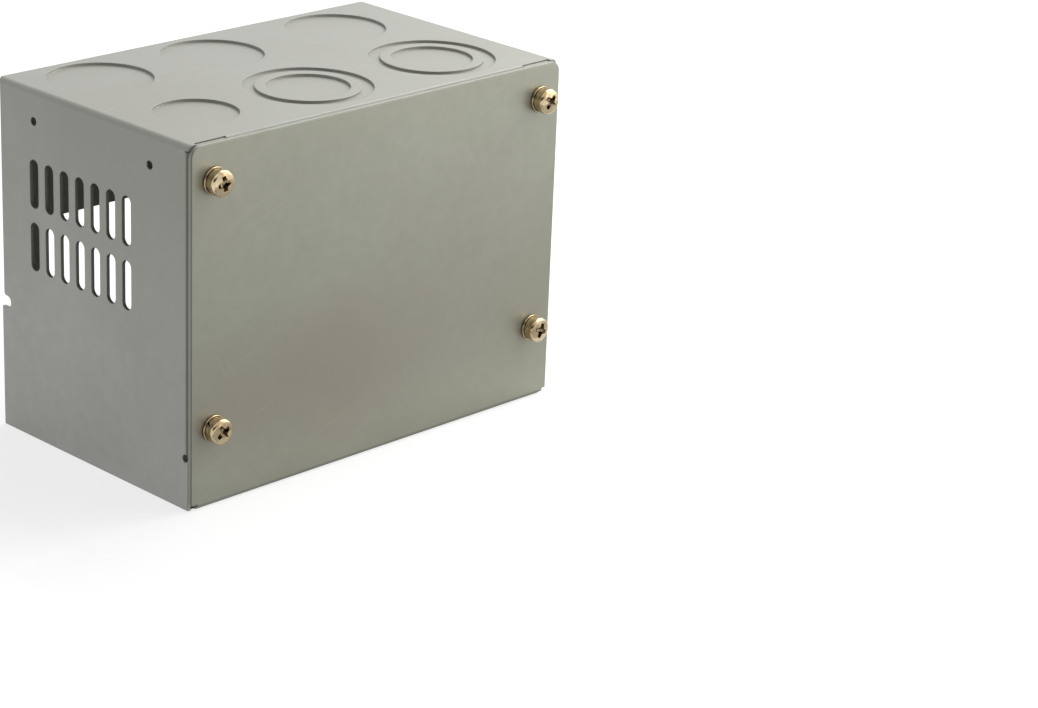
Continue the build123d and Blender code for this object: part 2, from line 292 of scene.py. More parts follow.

# %% [markdown]
# Low on the cover, left of its middle, lies one faint brownish patch: a painted reflection of dark things
# lying on the table in front of the box. It is an oval whose distance from its centre is disturbed by a
# noise, so its edge is ragged and soft.

# %% Node group: painted reflection patch
def build_painted_reflection_patch():
    """A soft oval on faces along Y, with a ragged edge."""
    inputs = {"Centre X": -19 * mm, "Centre Z": 29 * mm, "Raggedness": 1.1}
    inputs.update({"Half width": 42 * mm, "Half height": 21 * mm})
    tree, given, result = open_group("painted_reflection_patch", inputs, {"Reflection patch": value_socket})
    place = add(tree, "TexCoord").outputs["Object"]
    spot = add(tree, "SeparateXYZ", {0: place}).outputs
    sideways = calculate(tree, "SUBTRACT", spot["X"], given.outputs["Centre X"])
    upwards = calculate(tree, "SUBTRACT", spot["Z"], given.outputs["Centre Z"])
    across = calculate(tree, "DIVIDE", sideways, given.outputs["Half width"])
    rising = calculate(tree, "DIVIDE", upwards, given.outputs["Half height"])
    flat = add(tree, "CombineXYZ", {"X": across, "Y": rising}).outputs[0]
    distance = add(tree, "VectorMath", {0: flat}, operation="LENGTH").outputs["Value"]
    noise = add(tree, "TexNoise", {"Vector": place, "Scale": 45.0, "Detail": 3.0}).outputs["Fac"]
    noise_middle = 0.5
    in_or_out = calculate(tree, "SUBTRACT", noise, noise_middle)
    ragged = calculate(tree, "MULTIPLY", in_or_out, given.outputs["Raggedness"])
    reach = calculate(tree, "ADD", distance, ragged)
    tree.links.new(ramp(tree, reach, zero_at=1.15, one_at=0.45), result.inputs["Reflection patch"])
    print("built", tree.name)


build_painted_reflection_patch()

# %% [markdown]
# No sheared edge is perfectly sharp. Each has a tiny rolled rim that catches the light, where the shears
# have torn the zinc away. Modelling it would need a bevel on every edge. The Bevel node instead bends the
# shading normal within a chosen radius of an edge, and how far it leans is a mask of the rim.

# %% Node group: soft rim
def build_soft_rim():
    """A softened normal at edges, and a mask of where it leans."""
    inputs = {"Radius": 0.3 * mm, "Sharpness": 6.0}
    outputs = {"Rim": value_socket, "Normal": normal_socket}
    tree, given, result = open_group("soft_rim", inputs, outputs)
    soft = add(tree, "Bevel", {"Radius": given.outputs["Radius"]}, samples=6).outputs["Normal"]
    true = add(tree, "NewGeometry").outputs["Normal"]
    alike = add(tree, "VectorMath", {0: soft, 1: true}, operation="DOT_PRODUCT").outputs["Value"]
    lean = calculate(tree, "SUBTRACT", 1.0, alike)
    rim = calculate(tree, "MULTIPLY", lean, given.outputs["Sharpness"])
    tree.links.new(calculate(tree, "MINIMUM", rim, 1.0), result.inputs["Rim"])
    tree.links.new(soft, result.inputs["Normal"])
    print("built", tree.name)


build_soft_rim()

# %% [markdown]
# Along each fold the colour is painted darker: painted shade for the dark bands that the bends and the seam
# beside the cover show. On a flat face one part of the normal is 1 and the others are 0, and only on a fold
# do two of them share. So the products of its parts, read at each point, are masks of the folds. In the
# middle of a fold such a product is a half, so each is doubled, and the upright ones a little more, which
# widens them. The folds along the front and the upright ones are the tightest, and they get the darkest
# painted shade. The walls of the knock-outs turn the same way as the upright folds, so only those near a
# side of the box count.

# %% Node group: fold shade masks
def build_fold_shade_masks():
    """Masks that are 1 in the middle of a fold and 0 on flat faces."""
    outputs = {"Side fold": value_socket, "Front fold": value_socket, "Upright fold": value_socket}
    tree, given, result = open_group("fold_shade_masks", {"Side width": 1.5 * mm}, outputs)
    source = add(tree, "TexCoord").outputs
    size = add(tree, "VectorMath", {0: source["Normal"]}, operation="ABSOLUTE").outputs["Vector"]
    parts = add(tree, "SeparateXYZ", {0: size}).outputs
    sideways = calculate(tree, "MULTIPLY", parts["X"], parts["Z"])
    endways = calculate(tree, "MULTIPLY", parts["Y"], parts["Z"])
    upright = calculate(tree, "MULTIPLY", parts["X"], parts["Y"])
    place = add(tree, "SeparateXYZ", {0: source["Object"]}).outputs
    inset = calculate(tree, "SUBTRACT", box_high.x, calculate(tree, "ABSOLUTE", place["X"]))
    by_a_side = calculate(tree, "LESS_THAN", inset, given.outputs["Side width"])
    to_one = 2.0
    to_more_than_one = 2.5
    widened = calculate(tree, "MINIMUM", calculate(tree, "MULTIPLY", upright, to_more_than_one), 1.0)
    kept = calculate(tree, "MULTIPLY", widened, by_a_side)
    tree.links.new(calculate(tree, "MULTIPLY", sideways, to_one), result.inputs["Side fold"])
    tree.links.new(calculate(tree, "MULTIPLY", endways, to_one), result.inputs["Front fold"])
    tree.links.new(kept, result.inputs["Upright fold"])
    print("built", tree.name)


build_fold_shade_masks()

# %% [markdown]
# The cover is a flat plate that is sheared after plating, so its narrow edges are bare, dull steel. They
# are the only parts of it, save the hidden lip at its foot, that do not face along Y.

# %% Node group: sheared edge
def build_sheared_edge():
    """A mask of the faces that are turned away from Y, above a height."""
    tree, given, result = open_group("sheared_edge", {"Lowest": 2 * mm}, {"Edge": value_socket})
    source = add(tree, "TexCoord").outputs
    facing = add(tree, "SeparateXYZ", {0: source["Normal"]}).outputs
    along_y = calculate(tree, "ABSOLUTE", facing["Y"])
    turned_away = ramp(tree, along_y, zero_at=0.95, one_at=0.45)
    height = add(tree, "SeparateXYZ", {0: source["Object"]}).outputs["Z"]
    above = calculate(tree, "GREATER_THAN", height, given.outputs["Lowest"])
    tree.links.new(calculate(tree, "MULTIPLY", turned_away, above), result.inputs["Edge"])
    print("built", tree.name)


build_sheared_edge()

# %% [markdown]
# Each upright flange at the rear is joined to the back wall by three spot welds. The current heats the
# sheet, and the zinc round each weld turns straw and brown in a small ring with a bare grey middle. The
# welds stand in one line on each side, measured in from the sides and down from the top, so one distance
# sum finds the nearest of them from its height alone.

# %% Node group: weld heat
def build_weld_heat():
    """A tint ring round each spot weld in two upright lines."""
    in_from_side = 7.05 * mm
    down_from_top = 37.2 * mm
    inputs = {"Line offset": box_high.x - in_from_side, "Lowest": box_high.z - down_from_top}
    inputs.update({"Spacing": 15.45 * mm, "Count": 3.0, "Radius": 4.2 * mm})
    tree, given, result = open_group("weld_heat", inputs, {"Heat": value_socket})
    place = add(tree, "SeparateXYZ", {0: add(tree, "TexCoord").outputs["Object"]}).outputs
    from_middle = calculate(tree, "ABSOLUTE", place["X"])
    sideways = calculate(tree, "SUBTRACT", from_middle, given.outputs["Line offset"])
    climbed = calculate(tree, "SUBTRACT", place["Z"], given.outputs["Lowest"])
    step = calculate(tree, "ROUND", calculate(tree, "DIVIDE", climbed, given.outputs["Spacing"]))
    last = calculate(tree, "SUBTRACT", given.outputs["Count"], 1.0)
    nearest = calculate(tree, "MINIMUM", calculate(tree, "MAXIMUM", step, 0.0), last)
    weld_height = calculate(tree, "MULTIPLY", nearest, given.outputs["Spacing"])
    upwards = calculate(tree, "SUBTRACT", climbed, weld_height)
    flat = add(tree, "CombineXYZ", {"X": sideways, "Y": upwards}).outputs[0]
    distance = add(tree, "VectorMath", {0: flat}, operation="LENGTH").outputs["Value"]
    share = calculate(tree, "DIVIDE", distance, given.outputs["Radius"])
    ring_share = 0.55
    fades_within = 0.45
    from_ring = calculate(tree, "ABSOLUTE", calculate(tree, "SUBTRACT", share, ring_share))
    tint = ramp(tree, from_ring, zero_at=fades_within, one_at=0.0)
    rear_layer = 3 * mm
    at_rear = calculate(tree, "GREATER_THAN", place["Y"], box_high.y - rear_layer)
    tree.links.new(calculate(tree, "MULTIPLY", tint, at_rear), result.inputs["Heat"])
    print("built", tree.name)


build_weld_heat()

# %% [markdown]
# The sheet itself is a dull warm grey, about half as mirror-like as clean metal. Clouds and film shift it
# darker and browner, and on the body the film's rise with height is painted shade. A brown patch low on the
# cover is a painted reflection. Streaks change its roughness, scratches are bright, folds are painted darker
# as painted shade and rims show bare steel. Each effect is laid over the ones before it by its own share.
# The body and the cover are cut from two coils, so one function makes both from their own numbers.

# %% Material: zinc-plated sheet
bare_steel = (0.24, 0.235, 0.22, 1.0)
reflection_patch_brown = (0.43, 0.388, 0.325, 1.0)
heat_brown = (0.20, 0.13, 0.07, 1.0)
streak_share = 0.2
side_fold_shade_share = 0.5
tight_fold_shade_share = 0.7
heat_share = 0.4
rim_share = 0.6
worn_roughness = 0.2


def plated_sheet(name, pale, dull, film_and_shade_tone, film_and_shade, reflection_patch_share, edge_share, shine, roughness):
    """Zinc-plated sheet between a pale and a dull tone, with a film and a painted shade with height that
    shift it to a third.
    """
    material, tree, shader = new_material(name)
    cloud = place_group(tree, "clouded_plating", Mottle_share=0.45)["Cloud"]
    grain = place_group(tree, "rolling_grain")["Grain"]
    scratch = place_group(tree, "handling_scratches", Amount=0.3)["Scratch"]
    folds = place_group(tree, "fold_shade_masks")
    rim = place_group(tree, "soft_rim")
    heat = place_group(tree, "weld_heat")["Heat"]
    side_fold_shade_tone = scaled(dull, 0.7)
    tight_fold_shade_tone = scaled(dull, 0.35)
    scratch_tone = scaled(pale, 1.25)
    clouded = blend_colours(tree, cloud, pale, dull)
    # Painted shade: on the body the film's rise with height makes the upper parts darker and warmer.
    film_shaded = blend_colours(tree, place_group(tree, "film_and_height_shade", **film_and_shade)["Film and shade"], clouded, film_and_shade_tone)
    # Painted reflection: the cover is blended towards brown in a soft patch low on its left.
    reflection_patch = calculate(tree, "MULTIPLY", place_group(tree, "painted_reflection_patch")["Reflection patch"], reflection_patch_share)
    reflection_patched = blend_colours(tree, reflection_patch, film_shaded, reflection_patch_brown)
    streaked = blend_colours(tree, calculate(tree, "MULTIPLY", grain, streak_share), reflection_patched, dull)
    # Painted shade: the folds and the upright seam beside the cover are blended towards darker tones.
    side_fold_shade = calculate(tree, "MULTIPLY", folds["Side fold"], side_fold_shade_share)
    side_fold_shaded = blend_colours(tree, side_fold_shade, streaked, side_fold_shade_tone)
    tight = calculate(tree, "MAXIMUM", folds["Upright fold"], folds["Front fold"])
    tight_fold_shade = calculate(tree, "MULTIPLY", tight, tight_fold_shade_share)
    fold_shaded = blend_colours(tree, tight_fold_shade, side_fold_shaded, tight_fold_shade_tone)
    heated = blend_colours(tree, calculate(tree, "MULTIPLY", heat, heat_share), fold_shaded, heat_brown)
    edge = calculate(tree, "MULTIPLY", place_group(tree, "sheared_edge")["Edge"], edge_share)
    bare = calculate(tree, "MAXIMUM", edge, calculate(tree, "MULTIPLY", rim["Rim"], rim_share))
    worn = calculate(tree, "MAXIMUM", bare, tight)
    sheared = blend_colours(tree, bare, heated, bare_steel)
    colour = blend_colours(tree, scratch, sheared, scratch_tone)
    cloud_rough = blend(tree, cloud, roughness - 0.03, roughness + 0.04)
    grain_rough = calculate(tree, "ADD", cloud_rough, blend(tree, grain, -0.04, 0.04))
    worn_rough = calculate(tree, "MULTIPLY", worn, worn_roughness)
    rough = calculate(tree, "ADD", grain_rough, worn_rough)
    bump = {"Height": grain, "Strength": 0.2, "Distance": 0.02 * mm, "Normal": rim["Normal"]}
    normal = add(tree, "Bump", bump).outputs["Normal"]
    shader.inputs["Metallic"].default_value = shine
    give_inputs(tree, shader, {"Base Color": colour, "Roughness": rough, "Normal": normal})
    print("material", name)
    return material


zinc_body = plated_sheet(
    "zinc_sheet_body",
    pale=(0.455, 0.46, 0.435, 1.0),
    dull=(0.375, 0.38, 0.355, 1.0),
    film_and_shade_tone=(0.335, 0.335, 0.295, 1.0),
    film_and_shade={"Patch_share": 0.2, "Low": 0.0, "High": 90 * mm, "Height_share": 0.8},
    reflection_patch_share=0.0,
    edge_share=0.0,
    shine=0.55,
    roughness=0.42)
zinc_cover = plated_sheet(
    "zinc_sheet_cover",
    pale=(0.475, 0.487, 0.402, 1.0),
    dull=(0.40, 0.407, 0.329, 1.0),
    film_and_shade_tone=(0.41, 0.385, 0.315, 1.0),
    film_and_shade={"Patch_share": 0.35, "Height_share": 0.0},
    reflection_patch_share=0.9,
    edge_share=0.6,
    shine=0.55,
    roughness=0.40)

# %% [markdown]
# The screws and washers are plated with yellow zinc, a thin golden film over bright metal. It is smooth and
# mirror-like, and redder where the film is thick. In the recess and under the heads, which the Ambient
# Occlusion node finds as places with little space round them, the colour is painted dark: painted shade.
# Rims are paler, for rubbed wear and a painted highlight. The nuts are bright zinc.

# %% Materials: yellow zinc and bright zinc
def plated_fastener(name, pale, deep, roughness):
    """Bright plating whose tone drifts between a pale and a deep colour, with painted shade in its corners.
    """
    material, tree, shader = new_material(name)
    film_and_shade = {"Clouds_per_metre": 300.0, "Mottle_per_metre": 1500.0, "Mottle_share": 0.4}
    cloud = place_group(tree, "clouded_plating", **film_and_shade)["Cloud"]
    rim = place_group(tree, "soft_rim", Radius=0.12 * mm, Sharpness=4.0)
    rubbed_and_highlight_tone = scaled(pale, 1.15)
    recess_shade_tone = scaled(deep, 0.12)
    tone = blend_colours(tree, cloud, pale, deep)
    # Rubbed wear and painted highlight: the rims are blended towards a paler tone.
    rubbed_and_highlit = blend_colours(tree, calculate(tree, "MULTIPLY", rim["Rim"], rim_share), tone, rubbed_and_highlight_tone)
    # Painted shade: where the Ambient Occlusion node finds little space, the colour is blended towards a
    # near-black tone.
    openness = add(tree, "AmbientOcclusion", {"Distance": 2.2 * mm}, samples=6).outputs["AO"]
    recess_shade = ramp(tree, openness, zero_at=0.85, one_at=0.35)
    colour = blend_colours(tree, recess_shade, rubbed_and_highlit, recess_shade_tone)
    rough = blend(tree, cloud, roughness - 0.04, roughness + 0.06)
    shader.inputs["Metallic"].default_value = 1.0
    give_inputs(tree, shader, {"Base Color": colour, "Roughness": rough, "Normal": rim["Normal"]})
    print("material", name)
    return material


yellow_zinc = plated_fastener(
    "yellow_zinc", pale=(0.80, 0.69, 0.48, 1.0), deep=(0.42, 0.28, 0.13, 1.0), roughness=0.14)
bright_zinc = plated_fastener(
    "bright_zinc", pale=(0.66, 0.67, 0.68, 1.0), deep=(0.54, 0.55, 0.56, 1.0), roughness=0.30)

# %% [markdown]
# Each solid has one material slot. Filling it anew replaces the plain finish that it came with, and leaves
# the mesh untouched.

# %% Give each solid its finish
def finish_for(node):
    """The material of a solid, by its name."""
    if node == "box_body":
        return zinc_body
    if node == "front_cover":
        return zinc_cover
    return bright_zinc if node.endswith("clinch_nut") else yellow_zinc


for node_name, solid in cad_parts.items():
    solid.data.materials.clear()
    solid.data.materials.append(finish_for(node_name))
print("finished", len(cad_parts), "solids")

# %% [markdown]
# A new piece is drawn as a form of loose points and faces, and then becomes a mesh. Of these two helpers one
# makes the mesh as it is drawn. The other first joins points that touch and turns the faces outwards, and
# then shades it smooth between its sharp edges, as pressed metal is.

# %% Helpers for meshes
same_point = 0.0005 * mm


def mesh_from(name, form):
    """The mesh of a form, which is then let go."""
    mesh = bpy.data.meshes.new(name)
    form.to_mesh(mesh)
    form.free()
    return mesh


def finish_form(name, form, crease=40.0):
    """Join a form's points, turn its faces outwards and smooth it, save at creases of that many degrees."""
    bmesh.ops.remove_doubles(form, verts=form.verts, dist=same_point)
    bmesh.ops.recalc_face_normals(form, faces=form.faces)
    mesh = mesh_from(name, form)
    mesh.shade_smooth()
    mesh.set_sharp_from_angle(angle=math.radians(crease))
    return mesh


print("mesh helpers ready")

# %% [markdown]
# A turned piece is a profile swept round an axis, which is how a lathe or a header makes it. The helper
# takes the profile as pairs of radius and height and returns a mesh that rises along Z. A closed profile
# makes a ring, and one that starts and ends on the axis makes a solid.

# %% Helpers for turned pieces
def arc(centre_radius, centre_height, size, start, end, steps=6):
    """Points of a round corner in a profile, between two angles in degrees."""
    angles = [math.radians(start + (end - start) * i / steps) for i in range(steps + 1)]
    return [(centre_radius + size * math.cos(a), centre_height + size * math.sin(a)) for a in angles]


def turned(name, profile, segments, closed):
    """Sweep a profile of radius and height round Z."""
    form = bmesh.new()
    rings = []
    for i in range(segments):
        angle = 2 * math.pi * i / segments
        rings.append([form.verts.new((r * math.cos(angle), r * math.sin(angle), z)) for r, z in profile])
    spans = len(profile) if closed else len(profile) - 1
    for i in range(segments):
        here = rings[i]
        after = rings[(i + 1) % segments]
        for j in range(spans):
            k = (j + 1) % len(profile)
            form.faces.new((here[j], after[j], after[k], here[k]))
    return finish_form(name, form)


print("turning helpers ready")

# %% [markdown]
# The thread is rolled: a 60 degree ridge that climbs one pitch in each turn. The rows of this mesh follow
# the helix itself, so the crest is one unbroken line, and the last row of a turn lands on the first row of
# the next, where the two are joined. The same function makes the thread of the screw and that of the rod
# which cuts the nut.

# %% Helper for threads
thread_pitch = 0.7 * mm
thread_steps = 40
thread_shape = (0.0, 0.12, 0.5, 0.88, 1.0, 1.0, 0.88, 0.5, 0.12, 0.0)


def threaded_wall(root, crest, bottom, top, tip):
    """A tube of thread along Z between two heights, that tapers to the radius tip at the bottom."""
    form = bmesh.new()
    rows_a_turn = len(thread_shape)
    spare_turns = 2
    rows = int(math.ceil((top - bottom) / thread_pitch) + spare_turns) * rows_a_turn
    grid = []
    for row in range(rows + 1):
        line = []
        for step in range(thread_steps + 1):
            share = step / thread_steps
            angle = 2 * math.pi * share
            height = top + thread_pitch * (1 - row / rows_a_turn - share)
            height = min(top, max(bottom, height))
            radius = root + (crest - root) * thread_shape[row % rows_a_turn]
            radius = min(radius, tip + height - bottom)
            line.append(form.verts.new((radius * math.cos(angle), -radius * math.sin(angle), height)))
        grid.append(line)
    for row in range(rows):
        for step in range(thread_steps):
            corners = (grid[row][step], grid[row + 1][step], grid[row + 1][step + 1], grid[row][step + 1])
            heights = [corner.co.z for corner in corners]
            if max(heights) > bottom and min(heights) < top:
                form.faces.new(corners)
    loose = [vert for vert in form.verts if not vert.link_faces]
    bmesh.ops.delete(form, geom=loose, context="VERTS")
    bmesh.ops.remove_doubles(form, verts=form.verts, dist=same_point)
    return form


print("thread helper ready")

# %% [markdown]
# The screw has a pan head: a short cylinder with a softly crowned top, pressed in one blow from wire. The
# profile runs from the axis under the head, round the rim and back to the axis over the crown.

# %% Sizes and profile of the screw head
screw_low, screw_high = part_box("upper_left_screw")
spring_low, spring_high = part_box("upper_left_spring_washer")
head_radius = (screw_high.x - screw_low.x) / 2
head_height = spring_low.y - screw_low.y
shank_radius = 2.0 * mm
shank_length = screw_high.y - spring_low.y
crown = 0.35 * mm
rim_radius = 0.85 * mm
heel_radius = 0.25 * mm


def head_profile():
    """Radius and height of the pan head, with its crowned top."""
    shoulder = head_height - crown
    heel = head_radius - heel_radius
    flat = head_radius - rim_radius
    profile = [(0.0, 0.0), (heel, 0.0)]
    profile += arc(heel, heel_radius, heel_radius, -75, 0, 4)
    profile += arc(flat, shoulder - rim_radius, rim_radius, 5, 80, 7)
    for share in (0.9, 0.75, 0.6, 0.45, 0.3, 0.15, 0.0):
        profile.append((flat * share, shoulder + crown * (1 - share ** 2)))
    return profile


print("screw head", round(2 * head_radius / mm, 2), "mm wide")
print("shank", round(shank_length / mm, 2), "mm long")

# %% [markdown]
# The recess of a screw is pressed by a punch, and the thread of a nut is cut by a tap. The Boolean modifier
# does the same with meshes: it takes one out of another. It works on objects, so one helper puts a mesh into
# the scene, and the other cuts with it and clears both objects away.

# %% Helpers for placing and cutting
def place_piece(name, mesh, material=None):
    """An object in the scene for a mesh, with its material."""
    piece = bpy.data.objects.new(name, mesh)
    bpy.context.scene.collection.objects.link(piece)
    if material is not None:
        mesh.materials.append(material)
    return piece


def cut(mesh, cutter_mesh, name):
    """The mesh with another cut out of it, through a Boolean modifier."""
    blank = place_piece(name + "_blank", mesh)
    cutter = place_piece(name + "_cutter", cutter_mesh)
    step = blank.modifiers.new("cut", "BOOLEAN")
    step.operation = "DIFFERENCE"
    step.solver = "EXACT"
    step.object = cutter
    evaluated = blank.evaluated_get(bpy.context.evaluated_depsgraph_get())
    result = bpy.data.meshes.new_from_object(evaluated)
    bpy.data.objects.remove(blank)
    bpy.data.objects.remove(cutter)
    return result


print("placing and cutting helpers ready")

# %% [markdown]
# The cross recess is pressed by a punch with four tapered wings and a pointed core. The cutter below is
# that punch: a cross with cut inner corners, drawn at four depths and joined, and the Boolean modifier
# takes it out of the head.

# %% Punch for the cross recess
def cross_outline(span, width, core):
    """The twelve points of a cross whose inner corners are cut by the core."""
    corner_rise = 0.12
    inner_corner = (core, width + corner_rise * (core - width))
    points = []
    for quarter in range(4):
        turn = Matrix.Rotation(quarter * math.pi / 2, 2)
        for x, y in ((span, -width), (span, width), inner_corner):
            points.append(turn @ Vector((x, y)))
    return points


def recess_punch():
    """A cross-shaped punch with its point down at the recess floor."""
    # Each level in millimetres: its height over the top of the head, half the span and half the width of
    # the wings, and how far out their inner corners are cut.
    levels = (
        (0.4, 2.42, 0.64, 1.02),
        (-0.95, 1.75, 0.50, 0.80),
        (-1.5, 1.30, 0.42, 0.62),
        (-1.8, 0.3, 0.12, 0.16))
    form = bmesh.new()
    rings = []
    for rise, span, width, core in levels:
        outline = cross_outline(span * mm, width * mm, core * mm)
        rings.append([form.verts.new((point.x, point.y, head_height + rise * mm)) for point in outline])
    for upper, lower in zip(rings, rings[1:]):
        for i in range(len(upper)):
            j = (i + 1) % len(upper)
            form.faces.new((upper[i], upper[j], lower[j], lower[i]))
    form.faces.new(rings[0])
    form.faces.new(rings[-1])
    return finish_form("recess_punch", form, crease=30.0)


pan_head = turned("pan_head", head_profile(), segments=64, closed=False)
recessed_head = cut(pan_head, recess_punch(), "screw_head")
print("recessed head:", len(recessed_head.polygons), "faces")

# %% [markdown]
# Head and thread are joined into one mesh, which all four screws share. The thread starts a little inside
# the head, so no gap shows under it.

# %% The cover screw
same_height = 0.01 * mm


def screw_mesh():
    """Pan head above z = 0 and threaded shank below it."""
    sunk = 0.2 * mm
    shank = threaded_wall(
        root=1.62 * mm, crest=shank_radius, bottom=-shank_length, top=sunk, tip=1.35 * mm)
    rim = [edge for edge in shank.edges if edge.is_boundary]
    low = [edge for edge in rim if max(v.co.z for v in edge.verts) < -shank_length + same_height]
    bmesh.ops.contextual_create(shank, geom=low)
    shank.from_mesh(recessed_head)
    return finish_form("cover_screw", shank, crease=38.0)


cover_screw = screw_mesh()
heights = [vert.co.z for vert in cover_screw.vertices]
print("screw", round(min(heights) / mm, 2), "to", round(max(heights) / mm, 2), "mm along its axis,",
      len(cover_screw.polygons), "faces")

# %% [markdown]
# The spring washer is a turn of square wire, cut through at a slant, so its two ends can bite as they slide
# past each other. It is swept like the other turned pieces, but stops short on both sides of the slit, and
# each row of points is shifted round the axis by its height.

# %% The two washers
def spring_washer_mesh(outer, bore, height):
    """A split ring above z = 0 with a slanted slit."""
    soft = 0.12 * mm
    profile = arc(outer - soft, soft, soft, -90, 0, 3) + arc(outer - soft, height - soft, soft, 0, 90, 3)
    profile += arc(bore + soft, height - soft, soft, 90, 180, 3) + arc(bore + soft, soft, soft, 180, 270, 3)
    form = bmesh.new()
    half_slit = 0.3 * mm / outer
    slant = 0.7
    segments = 60
    rings = []
    for i in range(segments + 1):
        angle = half_slit + (2 * math.pi - 2 * half_slit) * i / segments
        ring = []
        for radius, z in profile:
            turn = angle + (z - height / 2) * slant / outer
            ring.append(form.verts.new((radius * math.cos(turn), radius * math.sin(turn), z)))
        rings.append(ring)
    for here, after in zip(rings, rings[1:]):
        for j in range(len(profile)):
            k = (j + 1) % len(profile)
            form.faces.new((here[j], after[j], after[k], here[k]))
    form.faces.new(rings[0])
    form.faces.new(rings[-1])
    return finish_form("spring_washer", form)


def flat_washer_mesh(outer, bore, height):
    """A punched washer above z = 0, rolled over at its outer top edge."""
    roll = 0.2 * mm
    soft = 0.08 * mm
    profile = arc(outer - soft, soft, soft, -90, 0, 2) + arc(outer - roll, height - roll, roll, 0, 90, 5)
    profile += arc(bore + soft, height - soft, soft, 90, 180, 2) + arc(bore + soft, soft, soft, 180, 270, 2)
    return turned("flat_washer", profile, segments=72, closed=True)


flat_low, flat_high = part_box("upper_left_flat_washer")
spring_outer = (spring_high.z - spring_low.z) / 2
flat_outer = (flat_high.z - flat_low.z) / 2
spring_bore = shank_radius + 0.05 * mm
flat_bore = shank_radius + 0.15 * mm
spring_washer = spring_washer_mesh(spring_outer, spring_bore, height=spring_high.y - spring_low.y)
flat_washer = flat_washer_mesh(flat_outer, flat_bore, height=flat_high.y - flat_low.y)
print("washers", round(2 * spring_outer / mm, 2), "and", round(2 * flat_outer / mm, 2), "mm wide")

# %% [markdown]
# A clinch nut is pressed into the flange for good: the sheet flows into a groove behind its head and grips
# it. Only the round head and the threaded bore can be seen, from inside the box. The blank is turned with a
# cone at each mouth, and a closed rod with a thread on it is cut out, which leaves the thread of the nut
# behind. The bore stays a hair wider than the screw, so the two never touch while the screw turns.

# %% The clinch nut
def thread_cutter(bottom, top):
    """A closed threaded rod for cutting a nut."""
    no_taper = 1.0
    rod = threaded_wall(
        root=shank_radius + 0.07 * mm, crest=shank_radius + 0.35 * mm, bottom=bottom, top=top, tip=no_taper)
    for end in (bottom, top):
        rim = [edge for edge in rod.edges if edge.is_boundary]
        ring = [edge for edge in rim if all(abs(v.co.z - end) < same_height for v in edge.verts)]
        bmesh.ops.contextual_create(rod, geom=ring)
    return finish_form("thread_cutter", rod)


def clinch_nut_mesh(outer, height):
    """A round nut: its spigot end at z = 0, its head above."""
    spigot_radius = 2.67 * mm
    spigot_height = 0.8 * mm
    chamfer = 0.3 * mm
    mouth = shank_radius + 0.5 * mm
    throat = shank_radius - 0.1 * mm
    cone = mouth - throat
    profile = [(mouth, 0.0), (spigot_radius, 0.0), (spigot_radius, spigot_height), (outer, spigot_height)]
    profile += [(outer, height - chamfer), (outer - chamfer, height), (mouth, height)]
    profile += [(throat, height - cone), (throat, cone)]
    blank = turned("nut_blank", profile, segments=72, closed=True)
    past_the_end = 0.5 * mm
    return cut(blank, thread_cutter(-past_the_end, height + past_the_end), "clinch_nut")


nut_low, nut_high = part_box("upper_left_clinch_nut")
clinch_nut = clinch_nut_mesh((nut_high.x - nut_low.x) / 2, nut_high.y - nut_low.y)
print("clinch nut:", len(clinch_nut.polygons), "faces")

# %% [markdown]
# Each new mesh rises along its own Z. For the screws and washers that axis points out of the cover, along
# -Y, and for the nuts it points into the box. The screws stop at whatever angle they bite, so each gets a
# turn of its own. A piece rides on the body of the solid that it stands for, and takes that solid's place.

# %% Put the fasteners in their places
screw_turns = {"upper_left": 12.0, "upper_right": 50.0, "lower_left": 33.0, "lower_right": 70.0}
slit_turns = {"upper_left": 205.0, "upper_right": 80.0, "lower_left": 140.0, "lower_right": 250.0}
out_of_cover = Matrix.Rotation(math.radians(90), 4, "X")
into_box = Matrix.Rotation(math.radians(-90), 4, "X")


def fit(name, mesh, node, body, way, seat, turn):
    """Put a piece on its solid's axis, with its z = 0 at a seat along Y, and on its solid's body."""
    low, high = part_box(node)
    middle = (low + high) / 2
    piece = place_piece(name, mesh)
    spin = Matrix.Rotation(math.radians(turn), 4, "Z")
    piece.matrix_world = Matrix.Translation((middle.x, seat, middle.z)) @ way @ spin
    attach(piece, body)
    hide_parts(node)


for mesh in (cover_screw, spring_washer, flat_washer, clinch_nut):
    mesh.materials.clear()
    mesh.materials.append(bright_zinc if mesh == clinch_nut else yellow_zinc)
for place, screw_turn in screw_turns.items():
    washers = place + "_washers"
    fit(place + "_fine_screw", cover_screw, place + "_screw", place + "_cover_screw",
        way=out_of_cover, seat=spring_low.y, turn=screw_turn)
    fit(place + "_fine_spring", spring_washer, place + "_spring_washer", washers,
        way=out_of_cover, seat=spring_high.y, turn=slit_turns[place])
    fit(place + "_fine_flat", flat_washer, place + "_flat_washer", washers,
        way=out_of_cover, seat=flat_high.y, turn=0.0)
    fit(place + "_fine_nut", clinch_nut, place + "_clinch_nut", "box",
        way=into_box, seat=nut_low.y, turn=0.0)
print("fitted", 4 * len(screw_turns), "fastener pieces")

# %% [markdown]
# The photograph stands on pure white. In this room the camera and the metal see the world as white, while
# the light that it sheds stays low, so the lamps can shape the box. The Light Path node tells them apart,
# as it knows what kind of ray is asking.

# %% Room
def white_where_seen(tree):
    """1 for camera, glossy and transmission rays, 0 for the others."""
    path = add(tree, "LightPath").outputs
    mirrored = calculate(tree, "MAXIMUM", path["Is Glossy Ray"], path["Is Transmission Ray"])
    return calculate(tree, "MAXIMUM", path["Is Camera Ray"], mirrored)


